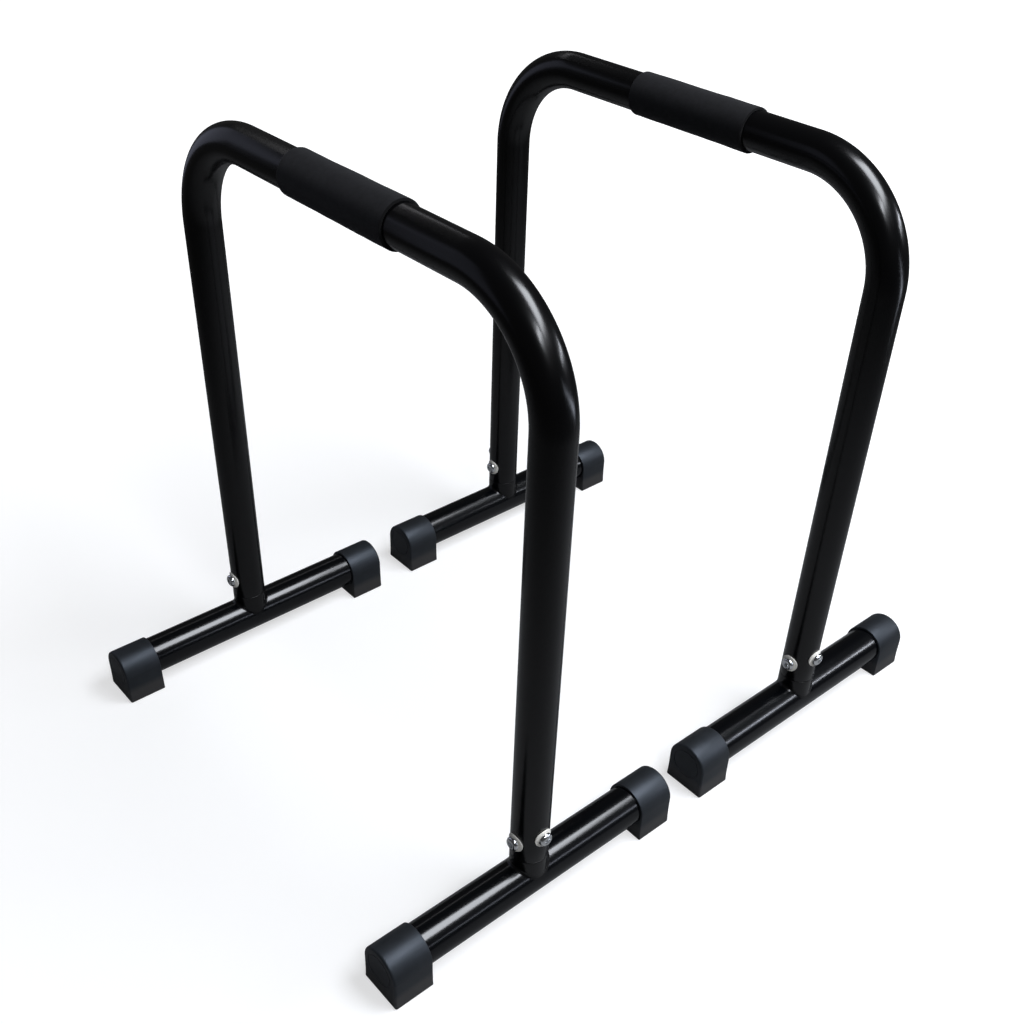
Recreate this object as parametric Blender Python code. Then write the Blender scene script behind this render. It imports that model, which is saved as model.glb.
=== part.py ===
"""A pair of free-standing parallette bars for dips, holds and press-ups.

Each stand is one steel tube bent into a U and bolted down onto two base tubes with rubber feet.
Metres, +Z up. +X runs along the base tubes from the left stand to the right one, +Y runs along
the bars from front to rear. The origin is on the floor, midway between the four legs.
"""
import math

import bmesh
import bpy
from mathutils import Matrix, Vector

# Layout of the pair
PITCH = 0.452             # between the centre planes of the two stands
FIT_GAP = 0.0003          # between pieces that touch

# Frame tube, one bent tube in each stand
BAR_HEIGHT = 0.702        # bar's axis above the floor
LEG_SPACING = 0.574       # between the axes of a stand's two legs
BEND_RADIUS = 0.113       # of each bend, on the tube's centreline
LEG_OD = 0.042
LEG_WALL = 0.0015
BEND_STEPS = 10
TUBE_SIDES = 24

# Base tubes and the rubber feet on their ends
STAND_DEPTH = 0.398       # over the feet at both ends of a base tube
BASE_OD = 0.047
BASE_WALL = 0.0015
FOOT_LIFT = 0.0145        # rubber under the base tube
CAP_LENGTH = 0.048
CAP_WALL = 0.0027         # rubber round the top half of the tube
CAP_FLARE = 0.001         # how far each side spreads from the tube's height to the floor
CAP_END_WALL = 0.005
CAP_EDGE = 0.002          # rounding of the outer end and of the long lower edges
CAP_MOUTH_EDGE = 0.0006   # rounding of the inner end
CAP_ARC_STEPS = 14

# Spigot welded on the base tube, with the leg pushed over it
COLLAR_HEIGHT = 0.0145    # collar that shows between the base tube's top and the leg's end
SPIGOT_WALL = 0.0018
INSERT_ABOVE_BOLT = 0.026 # hidden insert, above the upper bolt
INSERT_CHAMFER = 0.001
WELD_LEG = 0.003          # weld bead, along the collar and along the base tube
WELD_STEPS = 32

# Fasteners
SIDE_BOLT_RISE = 0.025    # bolt that faces sideways, above the leg's end
END_BOLT_RISE = 0.036     # bolt that faces outward along the bar, above the leg's end
BOLT_D = 0.008
BOLT_HEAD_D = 0.016
BOLT_HEAD_H = 0.0046
BOLT_TIP = 0.001          # bolt that stands out of its nut
SOCKET_AF = 0.006
SOCKET_DEPTH = 0.0026
HOLE_CLEARANCE = 0.0005   # round the bolt, in the tubes and the washer
WASHER_OD = 0.022
WASHER_T = 0.0015
NUT_AF = 0.013
NUT_T = 0.0065

# Foam grips
GRIP_LENGTH = 0.170
GRIP_WALL = 0.0029
GRIP_END_ROUND = 0.0018
LEFT_GRIP_SHIFT = -0.0075   # towards the front from the middle of the bar
RIGHT_GRIP_SHIFT = -0.0165

# Derived sizes
LEG_R = LEG_OD / 2
BASE_R = BASE_OD / 2
BASE_AXIS_Z = FOOT_LIFT + BASE_R
LEG_END_Z = BASE_AXIS_Z + BASE_R + COLLAR_HEIGHT
INSERT_R = LEG_R - LEG_WALL - FIT_GAP
SPIGOT_BORE_R = INSERT_R - SPIGOT_WALL
SPIGOT_TOP_Z = LEG_END_Z + END_BOLT_RISE + INSERT_ABOVE_BOLT
HOLE_R = BOLT_D / 2 + HOLE_CLEARANCE
WASHER_IN_R = LEG_R + FIT_GAP
HEAD_SEAT_R = WASHER_IN_R + WASHER_T + FIT_GAP
NUT_SEAT_R = math.sqrt((SPIGOT_BORE_R * math.cos(math.pi / TUBE_SIDES)) ** 2 - (NUT_AF / 2) ** 2) - FIT_GAP

# Colours are linear values of the photographed surfaces
FINISHES = {
    "satin_powder_coat": ((0.010, 0.010, 0.011), 0.38, 0.0),
    "gloss_powder_coat": ((0.009, 0.010, 0.012), 0.22, 0.0),
    "rubber": ((0.028, 0.031, 0.038), 0.62, 0.0),
    "foam": ((0.006, 0.006, 0.006), 0.92, 0.0),
    "zinc": ((0.72, 0.72, 0.70), 0.30, 1.0),
}


def clear_scene():
    for obj in list(bpy.data.objects):
        bpy.data.objects.remove(obj, do_unlink=True)


def finish_material(name, finish):
    """One Principled material for the piece called name."""
    colour, roughness, metallic = FINISHES[finish]
    material = bpy.data.materials.new(name)
    material.use_nodes = True
    shader = material.node_tree.nodes["Principled BSDF"]
    shader.inputs["Base Color"].default_value = (*colour, 1.0)
    shader.inputs["Roughness"].default_value = roughness
    shader.inputs["Metallic"].default_value = metallic
    material.diffuse_color = (*colour, 1.0)
    return material


def mesh_from(bm, name):
    """Close the bmesh into a smooth-shaded mesh whose faces point out."""
    bmesh.ops.recalc_face_normals(bm, faces=bm.faces)
    mesh = bpy.data.meshes.new(name)
    bm.to_mesh(mesh)
    bm.free()
    mesh.shade_smooth()
    mesh.set_sharp_from_angle(angle=math.radians(35))
    return mesh


def place(name, mesh, parent, location=(0, 0, 0), rotation=(0, 0, 0), finish=None):
    """Put a mesh under its stand. A piece without a finish is a cutter."""
    obj = bpy.data.objects.new(name, mesh)
    bpy.context.scene.collection.objects.link(obj)
    obj.parent = parent
    obj.location = location
    obj.rotation_euler = rotation
    if finish:
        mesh.materials.append(finish_material(name, finish))
    else:
        obj.display_type = "WIRE"
        obj.hide_render = True
    return obj


def cut(obj, cutter):
    modifier = obj.modifiers.new("cut_" + cutter.name, "BOOLEAN")
    modifier.operation = "DIFFERENCE"
    modifier.solver = "EXACT"
    modifier.object = cutter


def turned(name, profile, sides, closed=True):
    """Turn a profile of (radius, height) points about Z. An open profile starts and ends on the axis."""
    bm = bmesh.new()
    verts = [bm.verts.new((radius, 0, height)) for radius, height in profile]
    pairs = list(zip(verts, verts[1:]))
    if closed:
        pairs.append((verts[-1], verts[0]))
    edges = [bm.edges.new(pair) for pair in pairs]
    bmesh.ops.spin(bm, geom=verts + edges, cent=(0, 0, 0), axis=(0, 0, 1), angle=2 * math.pi,
                   steps=sides, use_merge=True)
    bmesh.ops.remove_doubles(bm, verts=bm.verts, dist=1e-7)
    return mesh_from(bm, name)


def bridge(bm, rings, cyclic=False):
    """Join rings of vertices one after the other with quads."""
    following = rings[1:] + rings[:1] if cyclic else rings[1:]
    for low, high in zip(rings, following):
        count = len(low)
        for i in range(count):
            j = (i + 1) % count
            bm.faces.new((low[i], low[j], high[j], high[i]))


def new_ring_edges(made):
    """Split what an extrusion or a spin made into its last ring's vertices and edges."""
    verts = [g for g in made if isinstance(g, bmesh.types.BMVert)]
    inside = set(verts)
    edges = [g for g in made if isinstance(g, bmesh.types.BMEdge) and set(g.verts) <= inside]
    return verts, edges


def run_straight(bm, edges, step):
    made = bmesh.ops.extrude_edge_only(bm, edges=edges)["geom"]
    verts, edges = new_ring_edges(made)
    bmesh.ops.translate(bm, verts=verts, vec=step)
    return verts, edges


def run_bend(bm, verts, edges, centre):
    made = bmesh.ops.spin(bm, geom=verts + edges, cent=centre, axis=(-1, 0, 0), angle=math.pi / 2,
                          steps=BEND_STEPS, use_merge=False)["geom_last"]
    return new_ring_edges(made)


def frame_tube_mesh(name):
    """Front leg up, bend, bar to the rear, bend, rear leg down: the tube's outer skin."""
    half = LEG_SPACING / 2
    straight_leg = BAR_HEIGHT - BEND_RADIUS - LEG_END_Z
    straight_bar = LEG_SPACING - 2 * BEND_RADIUS
    bend_z = BAR_HEIGHT - BEND_RADIUS
    bm = bmesh.new()
    bmesh.ops.create_circle(bm, segments=TUBE_SIDES, radius=LEG_R,
                            matrix=Matrix.Translation((0, -half, LEG_END_Z)))
    edges = list(bm.edges)
    verts, edges = run_straight(bm, edges, Vector((0, 0, straight_leg)))
    verts, edges = run_bend(bm, verts, edges, Vector((0, -half + BEND_RADIUS, bend_z)))
    verts, edges = run_straight(bm, edges, Vector((0, straight_bar, 0)))
    verts, edges = run_bend(bm, verts, edges, Vector((0, half - BEND_RADIUS, bend_z)))
    run_straight(bm, edges, Vector((0, 0, -straight_leg)))
    return mesh_from(bm, name)


def add_frame_tube(name, parent, hole_cutters):
    """The bent tube's skin, thickened inward to its wall and drilled for its bolts."""
    obj = place(name, frame_tube_mesh(name), parent, finish="satin_powder_coat")
    wall = obj.modifiers.new("wall", "SOLIDIFY")
    wall.thickness = LEG_WALL
    wall.offset = -1
    wall.use_even_offset = True
    for cutter in hole_cutters:
        cut(obj, cutter)
    return obj


def base_tube_mesh(name):
    half = STAND_DEPTH / 2 - CAP_END_WALL - FIT_GAP
    bore = BASE_R - BASE_WALL
    return turned(name, [(BASE_R, -half), (BASE_R, half), (bore, half), (bore, -half)], TUBE_SIDES)


def base_clearance_mesh(name):
    """The space of a base tube and its gap, which is cut from the feet and the spigot."""
    half = STAND_DEPTH / 2 - CAP_END_WALL
    radius = BASE_R + FIT_GAP
    return turned(name, [(0, -half), (radius, -half), (radius, half), (0, half)], TUBE_SIDES, closed=False)


def spigot_mesh(name):
    """Collar and insert in one turned piece, from the base tube's axis up. The saddle is cut later."""
    collar_top = LEG_END_Z - FIT_GAP
    profile = [
        (LEG_R, BASE_AXIS_Z),
        (LEG_R, collar_top),
        (INSERT_R, collar_top),
        (INSERT_R, SPIGOT_TOP_Z - INSERT_CHAMFER),
        (INSERT_R - INSERT_CHAMFER, SPIGOT_TOP_Z),
        (SPIGOT_BORE_R, SPIGOT_TOP_Z),
        (SPIGOT_BORE_R, BASE_AXIS_Z),
    ]
    return turned(name, profile, TUBE_SIDES)


def saddle_height(radius, angle):
    """Height just clear of the base tube's skin, at a radius and angle about the leg's axis."""
    across = radius * math.sin(angle)
    return BASE_AXIS_Z + math.sqrt((BASE_R + FIT_GAP) ** 2 - across ** 2)


def toe_radius(angle, start, run):
    """Radius reached by walking run outward over the base tube's skin from the radius start."""
    radius = start
    walked = 0.0
    step = run / 24
    while walked < run:
        across = radius * math.sin(angle)
        below = (BASE_R + FIT_GAP) ** 2 - across ** 2
        slope = across * math.sin(angle) / math.sqrt(below)
        radius += step / math.hypot(1, slope)
        walked += step
    return radius


def weld_mesh(name):
    """A convex fillet that follows the saddle between the collar and the base tube."""
    root_r = LEG_R + FIT_GAP
    rings = []
    bm = bmesh.new()
    for i in range(WELD_STEPS):
        angle = 2 * math.pi * i / WELD_STEPS
        toe_r = toe_radius(angle, root_r, WELD_LEG)
        root_z = saddle_height(root_r, angle)
        toe_z = saddle_height(toe_r, angle)
        top_z = root_z + WELD_LEG
        crown_r = (root_r + toe_r) / 2 + 0.12 * WELD_LEG
        crown_z = (top_z + toe_z) / 2 + 0.12 * WELD_LEG
        section = [(root_r, root_z), (toe_r, toe_z), (crown_r, crown_z), (root_r, top_z)]
        turn = Matrix.Rotation(angle, 3, "Z")
        rings.append([bm.verts.new(turn @ Vector((radius, 0, height))) for radius, height in section])
    bridge(bm, rings, cyclic=True)
    return mesh_from(bm, name)


def foot_profile(inset):
    """The foot's D outline as (across, up), drawn in by inset: round over the tube, flat on the floor."""
    top_r = BASE_R + FIT_GAP + CAP_WALL - inset
    foot_half = BASE_R + FIT_GAP + CAP_WALL + CAP_FLARE - inset
    corner = max(CAP_EDGE - inset, 0.1 * CAP_EDGE)
    points = []
    for i in range(CAP_ARC_STEPS + 1):
        angle = math.pi * i / CAP_ARC_STEPS
        points.append((top_r * math.cos(angle), BASE_AXIS_Z + top_r * math.sin(angle)))
    for i in range(3):
        angle = math.pi + math.pi / 4 * i
        points.append((-foot_half + corner + corner * math.cos(angle), inset + corner + corner * math.sin(angle)))
    for i in range(3):
        angle = 1.5 * math.pi + math.pi / 4 * i
        points.append((foot_half - corner + corner * math.cos(angle), inset + corner + corner * math.sin(angle)))
    return points


def foot_cap_mesh(name):
    """The solid foot from its outer end at 0 to its mouth at CAP_LENGTH along +X. The socket is cut later."""
    quarter = CAP_EDGE * (1 - math.cos(math.pi / 4))
    stations = [
        (0.0, CAP_EDGE),
        (quarter, quarter),
        (CAP_EDGE, 0.0),
        (CAP_LENGTH - CAP_MOUTH_EDGE, 0.0),
        (CAP_LENGTH, CAP_MOUTH_EDGE),
    ]
    bm = bmesh.new()
    rings = []
    for along, inset in stations:
        rings.append([bm.verts.new((along, across, up)) for across, up in foot_profile(inset)])
    bridge(bm, rings)
    bm.faces.new(rings[0])
    bm.faces.new(rings[-1])
    return mesh_from(bm, name)


def bolt_mesh(name):
    """Button-head bolt. Z points out of the head, and 0 is the flat under the head."""
    sides = 12
    tip = HEAD_SEAT_R - (NUT_SEAT_R - NUT_T) + BOLT_TIP
    radius = BOLT_D / 2
    head_r = BOLT_HEAD_D / 2
    flat_r = 0.62 * head_r
    stack = [
        (lambda a: radius - 0.15 * radius, -tip),
        (lambda a: radius, -tip + 0.15 * radius),
        (lambda a: radius, 0.0),
        (lambda a: head_r, 0.0),
        (lambda a: head_r, 0.22 * BOLT_HEAD_H),
        (lambda a: 0.88 * head_r, 0.70 * BOLT_HEAD_H),
        (lambda a: flat_r, BOLT_HEAD_H),
        (hexagon_radius, BOLT_HEAD_H),
        (hexagon_radius, BOLT_HEAD_H - SOCKET_DEPTH),
    ]
    bm = bmesh.new()
    rings = []
    for radius_at, height in stack:
        ring = []
        for i in range(sides):
            angle = 2 * math.pi * i / sides
            r = radius_at(angle)
            ring.append(bm.verts.new((r * math.cos(angle), r * math.sin(angle), height)))
        rings.append(ring)
    bridge(bm, rings)
    bm.faces.new(rings[0])
    bm.faces.new(rings[-1])
    return mesh_from(bm, name)


def hexagon_radius(angle):
    """Radius of the socket's hexagon, whose corners lie at every 60 degrees."""
    off_flat = (angle % (math.pi / 3)) - math.pi / 6
    return SOCKET_AF / 2 / math.cos(off_flat)


def washer_mesh(name):
    """A round washer bent to the leg. Z points out along the bolt, X lies along the leg's axis."""
    sides = 16
    edges = (HOLE_R, (HOLE_R + WASHER_OD / 2) / 2, WASHER_OD / 2)
    skins = [(WASHER_IN_R, edge_r) for edge_r in edges]
    skins += [(WASHER_IN_R + WASHER_T, edge_r) for edge_r in reversed(edges)]
    bm = bmesh.new()
    rings = []
    for skin_r, edge_r in skins:
        ring = []
        for i in range(sides):
            angle = 2 * math.pi * i / sides
            along = edge_r * math.cos(angle)
            across = edge_r * math.sin(angle)
            ring.append(bm.verts.new((along, across, math.sqrt(skin_r ** 2 - across ** 2))))
        rings.append(ring)
    bridge(bm, rings, cyclic=True)
    return mesh_from(bm, name)


def nut_mesh(name):
    """Hexagon nut with two corners along X, and its outer face at 0."""
    sides = 12
    bm = bmesh.new()
    bore_r = BOLT_D / 2 + FIT_GAP
    rings = []
    for outer, height in ((False, 0.0), (True, 0.0), (True, -NUT_T), (False, -NUT_T)):
        ring = []
        for i in range(sides):
            angle = 2 * math.pi * i / sides
            radius = NUT_AF / 2 / math.cos((angle % (math.pi / 3)) - math.pi / 6) if outer else bore_r
            ring.append(bm.verts.new((radius * math.cos(angle), radius * math.sin(angle), height)))
        rings.append(ring)
    bridge(bm, rings, cyclic=True)
    return mesh_from(bm, name)


def grip_mesh(name):
    bore = LEG_R + FIT_GAP
    outer = bore + GRIP_WALL
    half = GRIP_LENGTH / 2
    edge = GRIP_END_ROUND
    soft = edge * (1 - math.cos(math.pi / 4))
    profile = [
        (bore, -half),
        (outer - edge, -half),
        (outer - soft, -half + soft),
        (outer, -half + edge),
        (outer, half - edge),
        (outer - soft, half - soft),
        (outer - edge, half),
        (bore, half),
    ]
    return turned(name, profile, TUBE_SIDES)


def bolt_turn(facing):
    """Rotation that takes Z to the way a bolt faces and X to the leg's axis."""
    out = Vector(facing)
    up = Vector((0, 0, 1))
    side = out.cross(up)
    return Matrix((up, side, out)).transposed().to_euler()


def add_leg_joint(stand_name, leg_name, side, parent):
    """Everything at the foot of one leg. side is -1 at the front and 1 at the rear."""
    prefix = stand_name + "_" + leg_name
    leg_y = side * LEG_SPACING / 2
    along_x = (0, math.pi / 2, 0)
    clearance = place(prefix + "_base_clearance", base_clearance_mesh(prefix + "_base_clearance"),
                      parent, (0, leg_y, BASE_AXIS_Z), along_x)
    place(prefix + "_base_tube", base_tube_mesh(prefix + "_base_tube"), parent,
          (0, leg_y, BASE_AXIS_Z), along_x, "gloss_powder_coat")
    spigot = place(prefix + "_spigot", spigot_mesh(prefix + "_spigot"), parent,
                   (0, leg_y, 0), finish="satin_powder_coat")
    cut(spigot, clearance)
    place(prefix + "_weld", weld_mesh(prefix + "_weld"), parent, (0, leg_y, 0), finish="satin_powder_coat")

    for end_name, end in (("left", -1), ("right", 1)):
        name = prefix + "_" + end_name + "_foot"
        turn = 0 if end < 0 else math.pi
        foot = place(name, foot_cap_mesh(name), parent, (end * STAND_DEPTH / 2, leg_y, 0), (0, 0, turn), "rubber")
        cut(foot, clearance)

    cutters = []
    for bolt_name, facing, rise in (("side", (-1, 0, 0), SIDE_BOLT_RISE), ("end", (0, side, 0), END_BOLT_RISE)):
        out = Vector(facing)
        axis = Vector((0, leg_y, LEG_END_Z + rise))
        turn = bolt_turn(facing)
        name = prefix + "_" + bolt_name
        hole = turned(name + "_hole", [(0, SPIGOT_BORE_R / 2), (HOLE_R, SPIGOT_BORE_R / 2),
                                       (HOLE_R, HEAD_SEAT_R), (0, HEAD_SEAT_R)], 12, closed=False)
        cutter = place(name + "_hole", hole, parent, axis, turn)
        cutters.append(cutter)
        cut(spigot, cutter)
        place(name + "_washer", washer_mesh(name + "_washer"), parent, axis, turn, "zinc")
        place(name + "_bolt", bolt_mesh(name + "_bolt"), parent, axis + out * HEAD_SEAT_R, turn, "zinc")
        place(name + "_nut", nut_mesh(name + "_nut"), parent, axis + out * NUT_SEAT_R, turn, "zinc")
    return cutters


def add_stand(stand_name, centre_x, grip_shift):
    parent = bpy.data.objects.new(stand_name + "_stand", None)
    bpy.context.scene.collection.objects.link(parent)
    parent.location = (centre_x, 0, 0)
    cutters = []
    for leg_name, side in (("front", -1), ("rear", 1)):
        cutters += add_leg_joint(stand_name, leg_name, side, parent)
    add_frame_tube(stand_name + "_frame_tube", parent, cutters)
    place(stand_name + "_grip", grip_mesh(stand_name + "_grip"), parent,
          (0, grip_shift, BAR_HEIGHT), (math.pi / 2, 0, 0), "foam")


def main():
    clear_scene()
    add_stand("left", -PITCH / 2, LEFT_GRIP_SHIFT)
    add_stand("right", PITCH / 2, RIGHT_GRIP_SHIFT)


main()
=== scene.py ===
"""A pair of black parallette bars on a white studio floor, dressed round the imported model.

Metres, +Z up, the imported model's own frame: +X along the floor tubes, +Y along the gripped bars.
Pieces that repeat are modelled once at the origin, then copied to the place of the node each replaces.
"""
import math

import bmesh
import bpy
from mathutils import Matrix, Vector


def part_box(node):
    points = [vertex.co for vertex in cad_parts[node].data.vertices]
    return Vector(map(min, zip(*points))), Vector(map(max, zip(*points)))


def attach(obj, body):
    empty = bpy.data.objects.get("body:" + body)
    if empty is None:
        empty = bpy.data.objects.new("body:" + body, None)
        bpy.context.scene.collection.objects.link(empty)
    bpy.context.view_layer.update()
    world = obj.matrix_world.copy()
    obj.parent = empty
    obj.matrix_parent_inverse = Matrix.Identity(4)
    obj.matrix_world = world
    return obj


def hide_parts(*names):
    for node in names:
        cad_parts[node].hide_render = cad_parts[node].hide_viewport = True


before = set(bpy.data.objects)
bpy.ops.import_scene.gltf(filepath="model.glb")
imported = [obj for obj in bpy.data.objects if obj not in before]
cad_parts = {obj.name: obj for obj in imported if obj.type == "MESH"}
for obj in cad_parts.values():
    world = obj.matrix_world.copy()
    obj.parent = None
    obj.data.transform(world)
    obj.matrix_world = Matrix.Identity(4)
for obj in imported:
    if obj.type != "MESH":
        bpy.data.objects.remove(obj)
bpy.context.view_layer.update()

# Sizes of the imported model, in metres
GAP = 0.0003              # between pieces that touch
TUBE_R = 0.021            # bent tube and collar
TUBE_WALL = 0.0015
BAR_AXIS_Z = 0.702
BEND_R = 0.113            # bends, on the tube's centreline
LEG_END_Z = 0.076         # seam where the leg meets the collar
FLOOR_TUBE_R = 0.0235
FLOOR_TUBE_WALL = 0.0015
FLOOR_AXIS_Z = 0.038
FLOOR_TUBE_HALF = 0.1937
FOOT_LENGTH = 0.048
FOOT_TOP_R = 0.0265
FOOT_END_WALL = 0.005
INSERT_R = 0.0192         # spigot inside the leg
SPIGOT_BORE_R = 0.0174
SPIGOT_TOP_Z = 0.138
SIDE_BOLT_Z = 0.101
END_BOLT_Z = 0.112
BOLT_R = 0.004
HOLE_R = 0.0045
HEAD_R = 0.008
HEAD_H = 0.0046
HEAD_FLAT_R = 0.0045
HEAD_RIM_H = 0.0009       # below the head's dome
HEAD_SEAT_R = 0.0231      # flat under a bolt head, from the leg's axis
BOLT_TIP_R = 0.0077       # end of a bolt, from the leg's axis
SOCKET_AF = 0.006
SOCKET_DEPTH = 0.0026
WASHER_R = 0.011
WASHER_T = 0.0015
WASHER_IN_R = 0.0213      # inner face of a washer, from the leg's axis
GRIP_WALL = 0.0029

# Finer sizes, set here
SEAM_EDGE = 0.0002        # soft rim of each cut and painted tube end
SPIGOT_EDGE = 0.001       # chamfer at the top of the insert
WELD_LEG = 0.003          # up the collar, and out along the floor tube's crest
WELD_SIDE = 0.0011        # out where the floor tube falls away
WELD_SEAT = 0.00002       # the fillet is fused on, so it keeps no visible gap
WELD_HOLLOW = 0.02        # how far its face is drawn in, as the bridging counts it
FOOT_FLARE = ((0.020, 0.0), (0.009, 0.0003), (0.0, 0.001))    # height, spread each side
FOOT_EDGE = 0.0026
FOOT_MOUTH_EDGE = 0.0006
GROOVE_RING_R = 0.0186    # of the groove in a foot's end face
GROOVE_DEPTH = 0.0006
BOLT_TIP_EDGE = 0.0006
HEAD_EDGE = 0.0003
HEAD_SWELL = 0.0002       # how far a head's underside swells inward round the shank
SOCKET_CONE = 0.0006      # at the floor of a socket
WASHER_EDGE = 0.00035
GRIP_END_ROUND = 0.0012
GRIP_TRIM = 0.006         # the foam ends this much short of its solid, at the front
GRIP_SLIP = {"left": 0.0035, "right": 0.0}    # and then sits this much further back
FOAM_WAVE = {"left": 0.03, "right": 0.034}    # size of the foam's unevenness along it
FOAM_WAVE_DEPTH = 0.0007

# How finely the pieces are made
ROUND_SIDES = 96
BEND_STEPS = 48
BAR_PARTS = 4
ARCH_STEPS = 32
EDGE_STEPS = 8
FINE_EDGE_STEPS = 3
BOLT_SIDES = 48
DOME_STEPS = 12
WASHER_SIDES = 64
WASHER_RINGS = 6
WELD_POINTS = 128
WELD_CUTS = 6
GROOVE_SIDES = 12
GRIP_STEPS = 80
HOLE_MARGIN = 0.006       # from the middle of a bolt hole to the ring below or above it
LEG_RINGS = (0.25, 0.42)  # heights that keep the leg's long faces short
FLOOR_TUBE_RINGS = (-0.09, -0.03, 0.03, 0.09)    # the same along a floor tube
COLLAR_RING_Z = 0.072     # between the collar's saddle and its shoulder
WELD_START_Z = 0.09       # from where the bead's rings drop onto the floor tube
LEG_CUT_R = 0.016         # where a cutter for a leg's bolt hole starts, from the leg's axis
SPIGOT_CUT_R = 0.012      # where one for the spigot's hole starts
CUTTER_REACH = 0.024      # where both end, past the leg's skin
CUTTER_OVER = 0.01        # past the mouth of a foot
STEEP = 0.9               # a foot's face with this much of Y in its normal is one of its sides
NEAR = 1e-5               # slack when points are picked by their place
SAME_PLACE = 1e-6         # points closer than this are merged

# How the studio looks, where 1 is white
FLOOR_GLOW = 0.6          # of the floor by itself, under the pair
GLOW_REACH = (0.5, 2.0)   # metres over which it grows to white
FLOOR_DIMNESS = 0.19      # of the floor under the pair, as the pair sees it
DIM_REACH = (0.5, 1.6)    # metres over which that fades to black
ROOM_LIGHT = 0.012        # of the room, as the pair sees it
MIRRORED_SHARE = 0.03     # of the white background that mirroring pieces see
FLOOR_SIZE = 14.0
FLOOR_DROP = 0.0002       # below the soles

# Camera, fitted to the tubes and feet in the photograph
CAMERA_PLACE = Vector((-0.82518, -0.90475, 1.10357))
YAW, PITCH, ROLL = (math.radians(angle) for angle in (40.965, -37.139, 1.555))
SENSOR_WIDTH = 36.0
LENS = 42.826
SHIFT_X = 0.01925
SHIFT_Y = 0.05322
CAMERA_SEES = 50.0        # metres

STANDS = ("left", "right")
LEGS = ("front", "rear")
UP = Vector((0, 0, 1))


# Modelling

def start(name, add_primitive, **settings):
    """Adds a primitive with nothing else selected, and settles its place into its mesh."""
    bpy.ops.object.select_all(action="DESELECT")
    add_primitive(**settings)
    piece = bpy.context.object
    piece.name = piece.data.name = name
    bpy.ops.object.transform_apply(location=True, rotation=True, scale=True)
    return piece


def only(piece):
    """Makes a piece the only one selected, and active."""
    bpy.ops.object.select_all(action="DESELECT")
    piece.select_set(True)
    bpy.context.view_layer.objects.active = piece


def edit(piece):
    """Opens a piece in edit mode, with all of it selected."""
    only(piece)
    bpy.ops.object.mode_set(mode="EDIT")
    bpy.ops.mesh.select_mode(type="VERT")
    bpy.ops.mesh.select_all(action="SELECT")


def leave():
    """Goes back from edit mode."""
    bpy.ops.object.mode_set(mode="OBJECT")


def pick(kind, test):
    """In edit mode, selects the vertices, edges or faces that pass the test, and nothing else."""
    bpy.ops.mesh.select_mode(type=kind)
    bpy.ops.mesh.select_all(action="DESELECT")
    mesh = bpy.context.object.data
    bm = bmesh.from_edit_mesh(mesh)
    for part in {"VERT": bm.verts, "EDGE": bm.edges, "FACE": bm.faces}[kind]:
        if test(part):
            part.select_set(True)
    bm.select_flush_mode()
    bmesh.update_edit_mesh(mesh)


def pick_edges(test):
    """In edit mode, selects the edges whose two ends both pass the test."""
    pick("EDGE", lambda edge: all(test(vert.co) for vert in edge.verts))


def merge():
    """In edit mode, joins what lies in one place and turns every face outward."""
    bpy.ops.mesh.select_mode(type="VERT")
    bpy.ops.mesh.select_all(action="SELECT")
    bpy.ops.mesh.remove_doubles(threshold=SAME_PLACE)
    bpy.ops.mesh.normals_make_consistent(inside=False)


def extrude(step):
    """In edit mode, extrudes what is selected by a step."""
    bpy.ops.mesh.extrude_region_move(TRANSFORM_OT_translate={"value": step})


def soften(width, segments):
    """In edit mode, rounds the picked edges."""
    bpy.ops.mesh.bevel(offset=width, offset_type="OFFSET", segments=segments, profile=0.5,
                       affect="EDGES", clamp_overlap=False)


def work(piece, kind, **settings):
    """Adds a modifier with its settings and applies it."""
    only(piece)
    modifier = piece.modifiers.new(kind.lower(), kind)
    for name, value in settings.items():
        setattr(modifier, name, value)
    bpy.ops.object.modifier_apply(modifier=modifier.name)


def cut(piece, cutter):
    """Cuts a cutter's shape out of a piece, and removes the cutter."""
    work(piece, "BOOLEAN", operation="DIFFERENCE", solver="EXACT", object=cutter)
    bpy.data.objects.remove(cutter)


def turned(name, profile, axis="Z", centre=(0, 0, 0), sides=ROUND_SIDES, closed=True):
    """A turned piece: one ring is extruded and resized from point to point of its profile,
    given as (radius, place along the axis). A closed profile ends where it began."""
    centre = Vector(centre)
    direction = Vector([float(letter == axis) for letter in "XYZ"])
    rotation = {"X": (0, math.pi / 2, 0), "Y": (math.pi / 2, 0, 0), "Z": (0, 0, 0)}[axis]
    radius, along = profile[0]
    piece = start(name, bpy.ops.mesh.primitive_circle_add, vertices=sides, radius=radius,
                  fill_type="NOTHING", location=centre + direction * along, rotation=rotation)
    edit(piece)
    for next_radius, next_along in profile[1:] + (profile[:1] if closed else []):
        extrude(direction * (next_along - along))
        factor = next_radius / radius
        bpy.ops.transform.resize(value=(factor,) * 3, center_override=centre + direction * next_along)
        radius, along = next_radius, next_along
    if not closed:
        bpy.ops.mesh.edge_face_add()
        first_along = profile[0][1]
        pick_edges(lambda co: abs((co - centre).dot(direction) - first_along) < NEAR)
        bpy.ops.mesh.edge_face_add()
    merge()
    leave()
    return piece


def plug(name, radius, start_at, end_at, axis, centre=(0, 0, 0), sides=ROUND_SIDES):
    """A plain round cutter, which never shows."""
    return turned(name, [(radius, start_at), (radius, end_at)], axis, centre, sides, closed=False)


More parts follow.
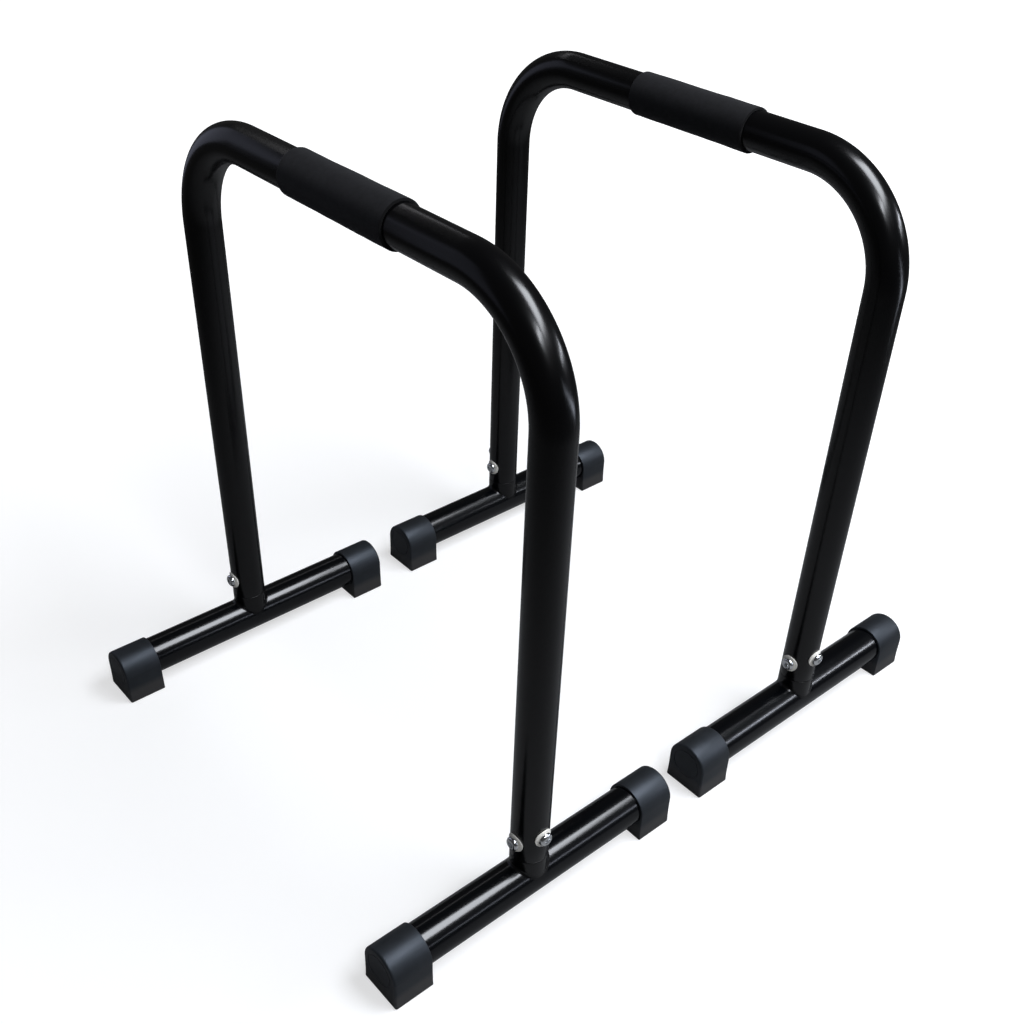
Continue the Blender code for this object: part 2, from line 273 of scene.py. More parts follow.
def arc(radius, start_angle, end_angle, steps, centre=(0, 0)):
    """Points of a rounded corner in a profile, angles in degrees."""
    points = []
    for i in range(steps + 1):
        angle = math.radians(start_angle + (end_angle - start_angle) * i / steps)
        points.append((centre[0] + radius * math.cos(angle), centre[1] + radius * math.sin(angle)))
    return points


def smooth(piece, angle=35):
    """Shades a piece smooth, but for edges sharper than the angle in degrees."""
    only(piece)
    bpy.ops.object.shade_smooth_by_angle(angle=math.radians(angle))


def copy_to(model, name, place, turn=0):
    """A copy of a model with its own mesh, turned about the vertical by degrees and set in its place."""
    only(model)
    bpy.ops.object.duplicate(linked=False)
    piece = bpy.context.object
    piece.name = piece.data.name = name
    piece.rotation_euler.z = math.radians(turn)
    piece.location = place
    bpy.ops.object.transform_apply(location=True, rotation=True, scale=True)
    return piece


def middle(node):
    """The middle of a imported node's box."""
    low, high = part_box(node)
    return (low + high) / 2


def middle_of(piece):
    """The middle of a piece's box."""
    corners = [Vector(c) for c in piece.bound_box]
    return sum(corners, Vector()) / 8


# Materials

# Sockets of a Mix node for colours, which share their names with those for numbers
MIX_FIRST, MIX_SECOND, MIX_RESULT = 6, 7, 2


def linear(colour):
    """An sRGB hex value as the linear colour that a shader takes."""
    parts = [int(colour[i:i + 2], 16) / 255 for i in (1, 3, 5)]
    return [v / 12.92 if v <= 0.04045 else ((v + 0.055) / 1.055) ** 2.4 for v in parts] + [1.0]


def add_node(owner, kind, values=None, links=None, **attributes):
    """Adds one node to a material or the world: values fill its input sockets, links feed them,
    and attributes set the node itself."""
    tree = owner.node_tree
    node = tree.nodes.new(kind)
    for name, value in attributes.items():
        setattr(node, name, value)
    for name, value in (values or {}).items():
        node.inputs[name].default_value = value
    for name, socket in (links or {}).items():
        tree.links.new(socket, node.inputs[name])
    return node


def new_material(name):
    """An empty node material."""
    material = bpy.data.materials.new(name)
    material.use_nodes = True
    material.node_tree.nodes.clear()
    return material


def satin_powder_coat():
    """Black polyester powder baked on the bent steel tube. It melts to a faint orange peel,
    and its satin finish spreads each lamp into a soft streak with no metal showing."""
    material = new_material("satin_powder_coat_on_steel")
    place = add_node(material, "ShaderNodeTexCoord").outputs["Object"]
    # Orange peel is 1.5 to 3 mm from crest to crest
    peel = add_node(material, "ShaderNodeTexNoise", {"Scale": 420.0, "Detail": 2.0, "Roughness": 0.5},
                    {"Vector": place})
    # Powder grain is 0.1 mm, drawn at 0.8 mm so that it shows
    grain = add_node(material, "ShaderNodeTexNoise", {"Scale": 1250.0, "Detail": 1.0}, {"Vector": place})
    # Melt and handling leave patches some 40 mm across that shine a little more or less
    patches = add_node(material, "ShaderNodeTexNoise", {"Scale": 24.0, "Detail": 3.0, "Roughness": 0.6},
                       {"Vector": place})
    gloss = add_node(material, "ShaderNodeMapRange", {"To Min": 0.20, "To Max": 0.24},
                     {"Value": patches.outputs["Fac"]})
    peel_bump = add_node(material, "ShaderNodeBump", {"Strength": 1.0, "Distance": 0.000004},
                         {"Height": peel.outputs["Fac"]})
    bump = add_node(material, "ShaderNodeBump", {"Strength": 0.6, "Distance": 0.000003},
                    {"Height": grain.outputs["Fac"], "Normal": peel_bump.outputs["Normal"]})
    shader = add_node(material, "ShaderNodeBsdfPrincipled",
                      {"Base Color": linear("#030304"), "IOR": 1.5, "Specular IOR Level": 0.45},
                      {"Roughness": gloss.outputs["Result"], "Normal": bump.outputs["Normal"]})
    add_node(material, "ShaderNodeOutputMaterial", links={"Surface": shader.outputs["BSDF"]})
    return material


def gloss_powder_coat():
    """The same powder in gloss on the floor tubes: it flows out smoother, so that a lamp
    stays one bright line along the tube, soft only at its edges."""
    material = new_material("gloss_powder_coat_on_steel")
    place = add_node(material, "ShaderNodeTexCoord").outputs["Object"]
    # Orange peel is 2 to 3 mm from crest to crest, shallower than in the satin coat
    peel = add_node(material, "ShaderNodeTexNoise", {"Scale": 380.0, "Detail": 2.0, "Roughness": 0.5},
                    {"Vector": place})
    patches = add_node(material, "ShaderNodeTexNoise", {"Scale": 30.0, "Detail": 3.0, "Roughness": 0.6},
                       {"Vector": place})
    gloss = add_node(material, "ShaderNodeMapRange", {"To Min": 0.17, "To Max": 0.20},
                     {"Value": patches.outputs["Fac"]})
    bump = add_node(material, "ShaderNodeBump", {"Strength": 1.0, "Distance": 0.0000005},
                    {"Height": peel.outputs["Fac"]})
    shader = add_node(material, "ShaderNodeBsdfPrincipled",
                      {"Base Color": linear("#020305"), "IOR": 1.5, "Specular IOR Level": 0.46},
                      {"Roughness": gloss.outputs["Result"], "Normal": bump.outputs["Normal"]})
    add_node(material, "ShaderNodeOutputMaterial", links={"Surface": shader.outputs["BSDF"]})
    return material


def moulded_rubber():
    """Black injection-moulded rubber feet. The mould's matt skin gives a broad grey-blue bloom
    in place of a highlight."""
    material = new_material("moulded_rubber")
    place = add_node(material, "ShaderNodeTexCoord").outputs["Object"]
    # Spark-eroded mould grain is 0.2 mm, drawn at 0.9 mm so that it shows
    grain = add_node(material, "ShaderNodeTexNoise", {"Scale": 1100.0, "Detail": 2.0}, {"Vector": place})
    # Bloom and dust on the skin vary over 10 to 20 mm
    bloom = add_node(material, "ShaderNodeTexNoise", {"Scale": 70.0, "Detail": 4.0, "Roughness": 0.6},
                     {"Vector": place})
    tint = add_node(material, "ShaderNodeValToRGB", links={"Fac": bloom.outputs["Fac"]})
    tint.color_ramp.elements[0].color = linear("#17191b")
    tint.color_ramp.elements[0].position = 0.3
    tint.color_ramp.elements[1].color = linear("#1e2022")
    tint.color_ramp.elements[1].position = 0.7
    # Painted light: the lowest 16 mm, thinning out by 25 mm, are a warmer, lighter grey, standing in for
    # light bounced up from the floor
    height = add_node(material, "ShaderNodeSeparateXYZ", links={0: place}).outputs["Z"]
    painted_floor_light = add_node(material, "ShaderNodeMapRange", {"From Min": 0.025, "From Max": 0.016},
                     {"Value": height})
    shade = add_node(material, "ShaderNodeMix", {MIX_SECOND: linear("#343230")},
                     {"Factor": painted_floor_light.outputs["Result"], MIX_FIRST: tint.outputs["Color"]}, data_type="RGBA")
    gloss = add_node(material, "ShaderNodeMapRange", {"To Min": 0.44, "To Max": 0.52},
                     {"Value": bloom.outputs["Fac"]})
    bump = add_node(material, "ShaderNodeBump", {"Strength": 0.7, "Distance": 0.00002},
                    {"Height": grain.outputs["Fac"]})
    shader = add_node(material, "ShaderNodeBsdfPrincipled",
                      {"IOR": 1.52, "Specular IOR Level": 0.47, "Specular Tint": linear("#e2eeff")},
                      {"Base Color": shade.outputs[MIX_RESULT], "Roughness": gloss.outputs["Result"],
                       "Normal": bump.outputs["Normal"]})
    add_node(material, "ShaderNodeOutputMaterial", links={"Surface": shader.outputs["BSDF"]})
    return material


def closed_cell_foam():
    """Nitrile rubber foam sleeve, cut from an extruded tube. Its fine skin is dull with a faint dust-like
    sheen, and has shallow pits where cells break the surface."""
    material = new_material("closed_cell_foam")
    place = add_node(material, "ShaderNodeTexCoord").outputs["Object"]
    # Cells are 0.3 mm, drawn at 1.1 mm so that they show
    cells = add_node(material, "ShaderNodeTexVoronoi", {"Scale": 900.0, "Randomness": 1.0},
                     {"Vector": place})
    mottle = add_node(material, "ShaderNodeTexNoise", {"Scale": 160.0, "Detail": 5.0, "Roughness": 0.65},
                      {"Vector": place})
    tint = add_node(material, "ShaderNodeValToRGB", links={"Fac": mottle.outputs["Fac"]})
    tint.color_ramp.elements[0].color = linear("#0f0f11")
    tint.color_ramp.elements[0].position = 0.3
    tint.color_ramp.elements[1].color = linear("#17171a")
    tint.color_ramp.elements[1].position = 0.7
    # The foam's cut ends show open cells, which hold the light and look duller than the skin. Their darker
    # colour is picked by facing along the bar, and is partly the open cells and partly painted shade.
    normal = add_node(material, "ShaderNodeTexCoord").outputs["Normal"]
    facing = add_node(material, "ShaderNodeSeparateXYZ", links={0: normal}).outputs["Y"]
    along = add_node(material, "ShaderNodeMath", links={0: facing}, operation="ABSOLUTE").outputs["Value"]
    sawn_and_shaded_ends = add_node(material, "ShaderNodeMapRange", {"From Min": 0.25, "From Max": 0.7}, {"Value": along})
    shade = add_node(material, "ShaderNodeMix", {MIX_SECOND: linear("#060607")},
                     {"Factor": sawn_and_shaded_ends.outputs["Result"], MIX_FIRST: tint.outputs["Color"]}, data_type="RGBA")
    gloss = add_node(material, "ShaderNodeMapRange", {"To Min": 0.8, "To Max": 1.0},
                     {"Value": sawn_and_shaded_ends.outputs["Result"]})
    mottle_bump = add_node(material, "ShaderNodeBump", {"Strength": 0.7, "Distance": 0.00006},
                           {"Height": mottle.outputs["Fac"]})
    bump = add_node(material, "ShaderNodeBump", {"Strength": 0.8, "Distance": 0.00005},
                    {"Height": cells.outputs["Distance"], "Normal": mottle_bump.outputs["Normal"]})
    shader = add_node(material, "ShaderNodeBsdfPrincipled",
                      {"IOR": 1.45, "Specular IOR Level": 0.28, "Sheen Weight": 0.1, "Sheen Roughness": 0.4},
                      {"Base Color": shade.outputs[MIX_RESULT], "Roughness": gloss.outputs["Result"],
                       "Normal": bump.outputs["Normal"]})
    add_node(material, "ShaderNodeOutputMaterial", links={"Surface": shader.outputs["BSDF"]})
    return material


def bright_zinc_plate():
    """Bright zinc plate on steel bolts and nuts. It is smooth enough to mirror the lamps beside
    the dark room, with a faint blue cast and a slight milky unevenness from the bath."""
    material = new_material("bright_zinc_plate")
    place = add_node(material, "ShaderNodeTexCoord").outputs["Object"]
    # The plate's milky patches are 2 to 4 mm across
    bath = add_node(material, "ShaderNodeTexNoise", {"Scale": 350.0, "Detail": 3.0}, {"Vector": place})
    tint = add_node(material, "ShaderNodeValToRGB", links={"Fac": bath.outputs["Fac"]})
    tint.color_ramp.elements[0].color = linear("#e2e5e8")
    tint.color_ramp.elements[0].position = 0.35
    tint.color_ramp.elements[1].color = linear("#f2f3f4")
    tint.color_ramp.elements[1].position = 0.65
    gloss = add_node(material, "ShaderNodeMapRange", {"To Min": 0.12, "To Max": 0.2},
                     {"Value": bath.outputs["Fac"]})
    shader = add_node(material, "ShaderNodeBsdfPrincipled", {"Metallic": 1.0},
                      {"Base Color": tint.outputs["Color"], "Roughness": gloss.outputs["Result"]})
    add_node(material, "ShaderNodeOutputMaterial", links={"Surface": shader.outputs["BSDF"]})
    return material


def tumbled_zinc_plate():
    """Zinc plate on stamped washers, dulled by tumbling in a barrel before and after the bath.
    It scatters the lamps into an even pale grey."""
    material = new_material("tumbled_zinc_plate")
    place = add_node(material, "ShaderNodeTexCoord").outputs["Object"]
    # Marks of the barrel are 1 to 2 mm across
    knocks = add_node(material, "ShaderNodeTexNoise", {"Scale": 700.0, "Detail": 2.0}, {"Vector": place})
    gloss = add_node(material, "ShaderNodeMapRange", {"To Min": 0.85, "To Max": 0.95},
                     {"Value": knocks.outputs["Fac"]})
    shader = add_node(material, "ShaderNodeBsdfPrincipled",
                      {"Base Color": linear("#fdfbf6"), "Metallic": 1.0},
                      {"Roughness": gloss.outputs["Result"]})
    add_node(material, "ShaderNodeOutputMaterial", links={"Surface": shader.outputs["BSDF"]})
    return material


SATIN_COAT = satin_powder_coat()
GLOSS_COAT = gloss_powder_coat()
RUBBER = moulded_rubber()
FOAM = closed_cell_foam()
BRIGHT_ZINC = bright_zinc_plate()
TUMBLED_ZINC = tumbled_zinc_plate()


def coat(piece, material):
    """Gives a piece its one material."""
    piece.data.materials.clear()
    piece.data.materials.append(material)


def dress(piece, node, body, material):
    """Gives a finished piece its material and its body, and hides the imported node that it stands for."""
    coat(piece, material)
    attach(piece, body)
    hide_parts(node)


# Pieces, each modelled once about the leg's axis, the bar's middle or the tube's middle

def drill(piece, leg, end, inner):
    """Cuts a leg's two bolt holes from inner outwards, one sideways and one along the bar."""
    for axis, height, sign in (("X", SIDE_BOLT_Z, -1), ("Y", END_BOLT_Z, end)):
        hole = plug("hole", HOLE_R, *sorted((sign * inner, sign * CUTTER_REACH)), axis,
                    (leg.x, leg.y, height), BOLT_SIDES)
        cut(piece, hole)


def model_bent_tube(half_spacing):
    """The U: a ring goes up the front leg, round the bend, along the bar and down the rear leg."""
    bend_z = BAR_AXIS_Z - BEND_R
    tube = start("bent_tube_model", bpy.ops.mesh.primitive_circle_add, vertices=ROUND_SIDES,
                 radius=TUBE_R, fill_type="NOTHING", location=(0, -half_spacing, LEG_END_Z))
    between_bolts = (SIDE_BOLT_Z + END_BOLT_Z) / 2
    leg_stations = [LEG_END_Z, SIDE_BOLT_Z - HOLE_MARGIN, between_bolts, END_BOLT_Z + HOLE_MARGIN,
                    *LEG_RINGS, bend_z]
    edit(tube)
    for low, high in zip(leg_stations, leg_stations[1:]):
        extrude((0, 0, high - low))
    bpy.ops.mesh.spin(steps=BEND_STEPS, angle=math.pi / 2, axis=(1, 0, 0),
                      center=(0, -half_spacing + BEND_R, bend_z))
    for _ in range(BAR_PARTS):
        extrude((0, 2 * (half_spacing - BEND_R) / BAR_PARTS, 0))
    bpy.ops.mesh.spin(steps=BEND_STEPS, angle=math.pi / 2, axis=(1, 0, 0),
                      center=(0, half_spacing - BEND_R, bend_z))
    for high, low in zip(leg_stations[::-1], leg_stations[-2::-1]):
        extrude((0, 0, low - high))
    merge()
    leave()
    work(tube, "SOLIDIFY", thickness=TUBE_WALL, offset=-1, use_even_offset=True)
    edit(tube)
    pick_edges(lambda co: abs(co.z - LEG_END_Z) < NEAR
               and math.hypot(co.x, abs(co.y) - half_spacing) > TUBE_R - NEAR)
    soften(SEAM_EDGE, FINE_EDGE_STEPS)
    leave()
    for end in (-1, 1):
        drill(tube, Vector((0, end * half_spacing, 0)), end, LEG_CUT_R)
    smooth(tube)
    return tube


def model_floor_tube():
    """Straight tube with both ends cut square and lightly rounded, inside the feet."""
    outer, inner, half = FLOOR_TUBE_R, FLOOR_TUBE_R - FLOOR_TUBE_WALL, FLOOR_TUBE_HALF
    profile = [(inner, -half), (outer - SEAM_EDGE, -half), (outer, -half + SEAM_EDGE)]
    profile += [(outer, place) for place in FLOOR_TUBE_RINGS]
    profile += [(outer, half - SEAM_EDGE), (outer - SEAM_EDGE, half), (inner, half)]
    tube = turned("floor_tube_model", profile, "X", (0, 0, FLOOR_AXIS_Z))
    smooth(tube)
    return tube


def floor_tube_plug(name, clearance=GAP):
    """The middle stretch of a floor tube's outside, filled, to cut or lay other pieces by."""
    low, high = FLOOR_TUBE_RINGS[0], FLOOR_TUBE_RINGS[-1]
    return plug(name, FLOOR_TUBE_R + clearance, low, high, "X", (0, 0, FLOOR_AXIS_Z))


def model_spigot():
    """Collar with a rounded shoulder, and above it the insert that goes up into the leg."""
    top = LEG_END_Z - GAP
    profile = [(TUBE_R, FLOOR_AXIS_Z), (TUBE_R, COLLAR_RING_Z)]
    profile += arc(SEAM_EDGE, 0, 90, FINE_EDGE_STEPS, (TUBE_R - SEAM_EDGE, top - SEAM_EDGE))
    profile += [(INSERT_R, top), (INSERT_R, SIDE_BOLT_Z - HOLE_MARGIN), (INSERT_R, END_BOLT_Z + HOLE_MARGIN),
                (INSERT_R, SPIGOT_TOP_Z - SPIGOT_EDGE), (INSERT_R - SPIGOT_EDGE, SPIGOT_TOP_Z),
                (SPIGOT_BORE_R, SPIGOT_TOP_Z), (SPIGOT_BORE_R, FLOOR_AXIS_Z)]
    spigot = turned("spigot_model", profile)
    cut(spigot, floor_tube_plug("saddle"))
    return spigot


def model_weld():
    """A fillet all round the collar: a ring at its root is widened to its toe, both are laid on the
    floor tube, and the root is raised up the collar and joined to the toe by a slightly hollow face."""
    root_r = TUBE_R + WELD_SEAT
    weld = start("weld_model", bpy.ops.mesh.primitive_circle_add, vertices=WELD_POINTS, radius=root_r,
                 fill_type="NOTHING", location=(0, 0, WELD_START_Z))
    edit(weld)
    extrude((0, 0, 0))
    bpy.ops.transform.resize(value=((TUBE_R + WELD_LEG) / root_r, (TUBE_R + WELD_SIDE) / root_r, 1),
                             center_override=(0, 0, WELD_START_Z))
    leave()
    ground = floor_tube_plug("ground", WELD_SEAT)
    work(weld, "SHRINKWRAP", target=ground, wrap_method="PROJECT", use_project_x=False,
         use_project_y=False, use_project_z=True, use_negative_direction=True, use_positive_direction=False)
    bpy.data.objects.remove(ground)
    edit(weld)
    pick_edges(lambda co: math.hypot(co.x, co.y) < root_r + NEAR)
    extrude((0, 0, WELD_LEG))
    bpy.ops.mesh.select_mode(type="EDGE")
    bpy.ops.mesh.select_all(action="DESELECT")
    bpy.ops.mesh.select_non_manifold(use_wire=False, use_multi_face=False, use_non_contiguous=False,
                                     use_verts=False)
    bpy.ops.mesh.bridge_edge_loops(number_cuts=WELD_CUTS, interpolation="LINEAR", profile_shape="SMOOTH",
                                   profile_shape_factor=-WELD_HOLLOW)
    merge()
    leave()
    smooth(weld, angle=50)
    return weld


def model_foot():
    """Rubber foot at the -X end: a block whose two upper edges are rounded into one half circle,
    spread a little at the floor, rounded at its outer end and bored for the tube."""
    outer_x = -(FLOOR_TUBE_HALF + FOOT_END_WALL + GAP)
    mouth_x = outer_x + FOOT_LENGTH
    height = FLOOR_AXIS_Z + FOOT_TOP_R
    foot = start("foot_model", bpy.ops.mesh.primitive_cube_add, size=1,
                 location=(outer_x + FOOT_LENGTH / 2, 0, height / 2),
                 scale=(FOOT_LENGTH, 2 * FOOT_TOP_R, height))
    edit(foot)
    pick("EDGE", lambda e: all(v.co.z > height - NEAR for v in e.verts)
         and abs(e.verts[0].co.y - e.verts[1].co.y) < NEAR)
    soften(FOOT_TOP_R, ARCH_STEPS)
    merge()
    for z, _ in FOOT_FLARE:
        pick("FACE", lambda f: abs(f.normal.y) > STEEP)
        bpy.ops.mesh.bisect(plane_co=(0, 0, z), plane_no=(0, 0, 1))
    for z, spread in FOOT_FLARE:
        pick("VERT", lambda v: abs(v.co.z - z) < NEAR)
        bpy.ops.transform.resize(value=(1, 1 + spread / FOOT_TOP_R, 1), center_override=(0, 0, 0))
    pick("EDGE", lambda e: all(v.co.z < NEAR for v in e.verts)
         and abs(e.verts[0].co.y - e.verts[1].co.y) < NEAR)
    soften(FOOT_EDGE, EDGE_STEPS)
    pick_edges(lambda co: co.x < outer_x + NEAR)
    soften(FOOT_EDGE, EDGE_STEPS)
    pick_edges(lambda co: co.x > mouth_x - NEAR)
    soften(FOOT_MOUTH_EDGE, FINE_EDGE_STEPS)
    merge()
    leave()
    bore = plug("bore", FLOOR_TUBE_R + GAP, outer_x + FOOT_END_WALL, mouth_x + CUTTER_OVER, "X",
                (0, 0, FLOOR_AXIS_Z))
    cut(foot, bore)
    groove = start("groove", bpy.ops.mesh.primitive_torus_add, major_radius=GROOVE_RING_R,
                   minor_radius=GROOVE_DEPTH, major_segments=ROUND_SIDES, minor_segments=GROOVE_SIDES,
                   location=(outer_x, 0, FLOOR_AXIS_Z), rotation=(0, math.pi / 2, 0))
    cut(foot, groove)
    smooth(foot, angle=30)
    return foot


def model_bolt():
    """Button-head bolt that faces -Y, with its flat at the washer: domed head, hexagon socket."""
    # The dome is a quarter of an ellipse from the head's rim to its flat top
    dome_r, dome_h = HEAD_R - HEAD_FLAT_R, HEAD_H - HEAD_RIM_H
    dome = [(HEAD_FLAT_R + dome_r * math.cos(t), HEAD_RIM_H + dome_h * math.sin(t))
            for t in (math.pi / 2 * i / DOME_STEPS for i in range(DOME_STEPS + 1))]
    profile = [(BOLT_R - BOLT_TIP_EDGE, -BOLT_TIP_R), (BOLT_R, -(BOLT_TIP_R + BOLT_TIP_EDGE)),
               (BOLT_R, -HEAD_SEAT_R + HEAD_SWELL), (HEAD_R - HEAD_EDGE, -HEAD_SEAT_R),
               (HEAD_R, -HEAD_SEAT_R - HEAD_EDGE)]
    profile += [(radius, -(HEAD_SEAT_R + rise)) for radius, rise in dome]
    bolt = turned("bolt_model", profile, "Y", sides=BOLT_SIDES, closed=False)
    face_y = -(HEAD_SEAT_R + HEAD_H)
    socket = start("socket", bpy.ops.mesh.primitive_cylinder_add, vertices=6,
                   radius=SOCKET_AF / math.sqrt(3), depth=2 * SOCKET_DEPTH,
                   location=(0, face_y, 0), rotation=(math.pi / 2, 0, 0))
    edit(socket)
    pick("FACE", lambda f: f.calc_center_median().y > face_y + SOCKET_DEPTH - NEAR)
    bpy.ops.mesh.inset(thickness=SOCKET_CONE)
    bpy.ops.transform.translate(value=(0, SOCKET_CONE, 0))
    leave()
    cut(bolt, socket)
    smooth(bolt, angle=40)
    return bolt


def model_washer():
    """Round washer that faces -Y, turned flat with soft edges and then bent to the leg."""
    edge, half = WASHER_EDGE, WASHER_T / 2
    rings = [HOLE_R + edge + (WASHER_R - HOLE_R - 2 * edge) * i / WASHER_RINGS for i in range(WASHER_RINGS)]
    profile = [(HOLE_R, -half + edge), (HOLE_R, half - edge)] + [(radius, half) for radius in rings]
    profile += arc(edge, 90, 0, FINE_EDGE_STEPS, (WASHER_R - edge, half - edge))
    profile += arc(edge, 0, -90, FINE_EDGE_STEPS, (WASHER_R - edge, -half + edge))
    profile += [(radius, -half) for radius in reversed(rings)]
    washer = turned("washer_model", profile, "Y", sides=WASHER_SIDES)
    middle_r = WASHER_IN_R + half
    work(washer, "SIMPLE_DEFORM", deform_method="BEND", deform_axis="Z", angle=2 * WASHER_R / middle_r)
    edit(washer)
    bpy.ops.transform.translate(value=(0, -middle_r, 0))
    leave()
    smooth(washer, angle=40)
    return washer


def model_grip(length):
    """Foam sleeve with soft ends, ringed finely enough to take its unevenness."""
    bore, outer = TUBE_R + GAP, TUBE_R + GAP + GRIP_WALL
    half, end = length / 2, GRIP_END_ROUND
    straight = length - 2 * end
    profile = [(bore, -half)]
    profile += arc(end, -90, 0, EDGE_STEPS, (outer - end, -half + end))
    profile += [(outer, -half + end + straight * i / GRIP_STEPS) for i in range(1, GRIP_STEPS)]
    profile += arc(end, 0, 90, EDGE_STEPS, (outer - end, half - end))
    profile += [(bore, half)]
    return turned("grip_model", profile, "Y")


def soften_grip(grip, wave):
    """Shallow unevenness of cut foam, always inward, and none at the bore."""
    skin = grip.vertex_groups.new(name="skin")
    centre = middle_of(grip)
    inside = TUBE_R + GAP + GRIP_WALL - GRIP_END_ROUND
    skin.add([v.index for v in grip.data.vertices
              if math.hypot(v.co.x - centre.x, v.co.z - centre.z) > inside], 1.0, "REPLACE")
    waves = bpy.data.textures.new("foam_waves", "CLOUDS")
    waves.noise_scale = wave
    waves.noise_depth = 2
    work(grip, "DISPLACE", texture=waves, strength=FOAM_WAVE_DEPTH, mid_level=1.0, vertex_group="skin",
         texture_coords="LOCAL")
    grip.vertex_groups.clear()
    smooth(grip, angle=40)


# Both stands

leg_front = middle("left_front_base_tube")
leg_rear = middle("left_rear_base_tube")
half_spacing = (leg_rear.y - leg_front.y) / 2
grip_low, grip_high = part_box("left_grip")

models = {
    "bent_tube": model_bent_tube(half_spacing),
    "floor_tube": model_floor_tube(),
    "spigot": model_spigot(),
    "weld": model_weld(),
    "foot": model_foot(),
    "bolt": model_bolt(),
    "washer": model_washer(),
    "grip": model_grip(grip_high.y - grip_low.y - GRIP_TRIM),
}

for stand in STANDS:
    body = stand + "_stand"
    centre_x = middle(stand + "_grip").x
    tube = copy_to(models["bent_tube"], stand + "_bent_tube", (centre_x, 0, 0))
    dress(tube, stand + "_frame_tube", body, SATIN_COAT)
    grip_place = middle(stand + "_grip") + Vector((0, GRIP_TRIM / 2 + GRIP_SLIP[stand], 0))
    grip = copy_to(models["grip"], stand + "_foam_sleeve", grip_place)
    soften_grip(grip, FOAM_WAVE[stand])
    dress(grip, stand + "_grip", body, FOAM)
    for end, leg in zip((-1, 1), LEGS):
        node = f"{stand}_{leg}_"
        foot_of_leg = Vector((centre_x, end * half_spacing, 0))
        floor_tube = copy_to(models["floor_tube"], node + "floor_tube", foot_of_leg)
        dress(floor_tube, node + "base_tube", body, GLOSS_COAT)
        spigot = copy_to(models["spigot"], node + "collar", foot_of_leg)
        drill(spigot, foot_of_leg, end, SPIGOT_CUT_R)
        smooth(spigot)
        dress(spigot, node + "spigot", body, SATIN_COAT)
        weld = copy_to(models["weld"], node + "weld_bead", foot_of_leg)
        dress(weld, node + "weld", body, SATIN_COAT)
        for side, turn in (("left", 0), ("right", 180)):
            foot = copy_to(models["foot"], f"{node}{side}_rubber_foot", foot_of_leg, turn)
            dress(foot, f"{node}{side}_foot", body, RUBBER)
        end_turn = 0 if end < 0 else 180
        for way, turn, height in (("side", -90, SIDE_BOLT_Z), ("end", end_turn, END_BOLT_Z)):
            place = foot_of_leg + UP * height
            bolt = copy_to(models["bolt"], f"{node}{way}_button_bolt", place, turn)
            dress(bolt, f"{node}{way}_bolt", body, BRIGHT_ZINC)
            washer = copy_to(models["washer"], f"{node}{way}_bent_washer", place, turn)
            dress(washer, f"{node}{way}_washer", body, TUMBLED_ZINC)
            coat(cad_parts[f"{node}{way}_nut"], BRIGHT_ZINC)

for model in models.values():
    bpy.data.objects.remove(model)


# Studio

def seen_share(owner):
    """How much of the white background a ray sees: the camera and clear pieces all of it,
    and mirroring pieces a share, because the black coats mirror a dim studio in the photograph."""
    rays = add_node(owner, "ShaderNodeLightPath")
    clear = add_node(owner, "ShaderNodeMath",
                     links={0: rays.outputs["Is Camera Ray"], 1: rays.outputs["Is Transmission Ray"]},
                     operation="MAXIMUM")
    return add_node(owner, "ShaderNodeMath", {1: MIRRORED_SHARE},
                    {0: rays.outputs["Is Glossy Ray"], 2: clear.outputs["Value"]},
                    operation="MULTIPLY_ADD", use_clamp=True).outputs["Value"]


def studio_floor():
    """Matt floor, seen as white with the pair's soft shadows, and whiter farther off.
    What lights or mirrors in the pair is dim paper that fades to dark."""
    material = new_material("studio_floor")
    place = add_node(material, "ShaderNodeTexCoord").outputs["Object"]
    distance = add_node(material, "ShaderNodeVectorMath", links={0: place},
                        operation="LENGTH").outputs["Value"]
    glow = add_node(material, "ShaderNodeMapRange",
                    {"From Min": GLOW_REACH[0], "From Max": GLOW_REACH[1],
                     "To Min": FLOOR_GLOW, "To Max": 1.0}, {"Value": distance})
    dimness = add_node(material, "ShaderNodeMapRange",
                       {"From Min": DIM_REACH[0], "From Max": DIM_REACH[1],
                        "To Min": FLOOR_DIMNESS, "To Max": 0.0}, {"Value": distance})
    paper = add_node(material, "ShaderNodeBsdfDiffuse", {"Color": linear("#b3b3b3")})
    white = add_node(material, "ShaderNodeEmission", links={"Strength": glow.outputs["Result"]})
    seen = add_node(material, "ShaderNodeAddShader",
                    links={0: paper.outputs["BSDF"], 1: white.outputs["Emission"]})
    dim = add_node(material, "ShaderNodeBsdfDiffuse", links={"Color": dimness.outputs["Result"]})
    mixed = add_node(material, "ShaderNodeMixShader",
                     links={0: seen_share(material), 1: dim.outputs["BSDF"], 2: seen.outputs["Shader"]})
    add_node(material, "ShaderNodeOutputMaterial", links={"Surface": mixed.outputs["Shader"]})
    return material


floor = start("studio_floor", bpy.ops.mesh.primitive_plane_add, size=FLOOR_SIZE,
              location=(0, 0, -FLOOR_DROP))
floor.data.materials.append(studio_floor())

world = bpy.data.worlds.new("studio_walls")
bpy.context.scene.world = world
world.use_nodes = True
world.node_tree.nodes.clear()
brightness = add_node(world, "ShaderNodeMapRange", {"To Min": ROOM_LIGHT, "To Max": 1.0},
                      {"Value": seen_share(world)})
walls = add_node(world, "ShaderNodeBackground", {"Color": linear("#ffffff")},
                 {"Strength": brightness.outputs["Result"]})
add_node(world, "ShaderNodeOutputWorld", links={"Surface": walls.outputs["Background"]})


